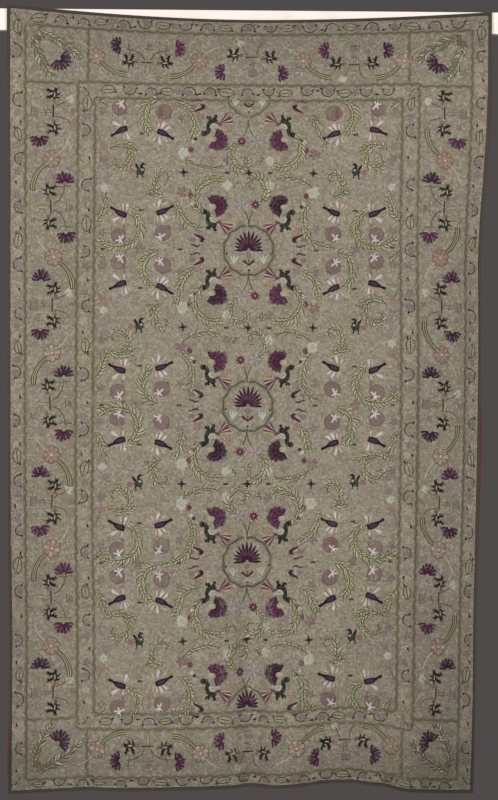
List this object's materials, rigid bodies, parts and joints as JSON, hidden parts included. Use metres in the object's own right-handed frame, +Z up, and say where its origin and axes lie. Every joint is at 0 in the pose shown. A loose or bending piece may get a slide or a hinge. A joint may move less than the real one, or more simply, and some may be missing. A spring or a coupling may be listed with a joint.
{
  "type": "coverlet hung on a bar",
  "caption": "Embroidered rectangular coverlet with a red lining, hung by its top edge from a flat white bar, in soft folds.",
  "frame": {"origin": "centre of the bar's flat back face, which goes against the wall", "axes": "+Y into the wall, out of the bar's back face; the embroidered front faces -Y; +Z up along the hung length; +X to the viewer's right"},
  "size_m": [1.56, 0.1227, 2.3743],
  "materials": {
    "bar_paint": "satin white paint",
    "embroidered_cotton": "matt cotton cloth with silk embroidery",
    "red_lining": "matt plain weave"
  },
  "bodies": {
    "root": {"hanging_bar": "bar_paint", "face_cloth": "embroidered_cotton", "lining": "red_lining"}
  },
  "joints": []
}
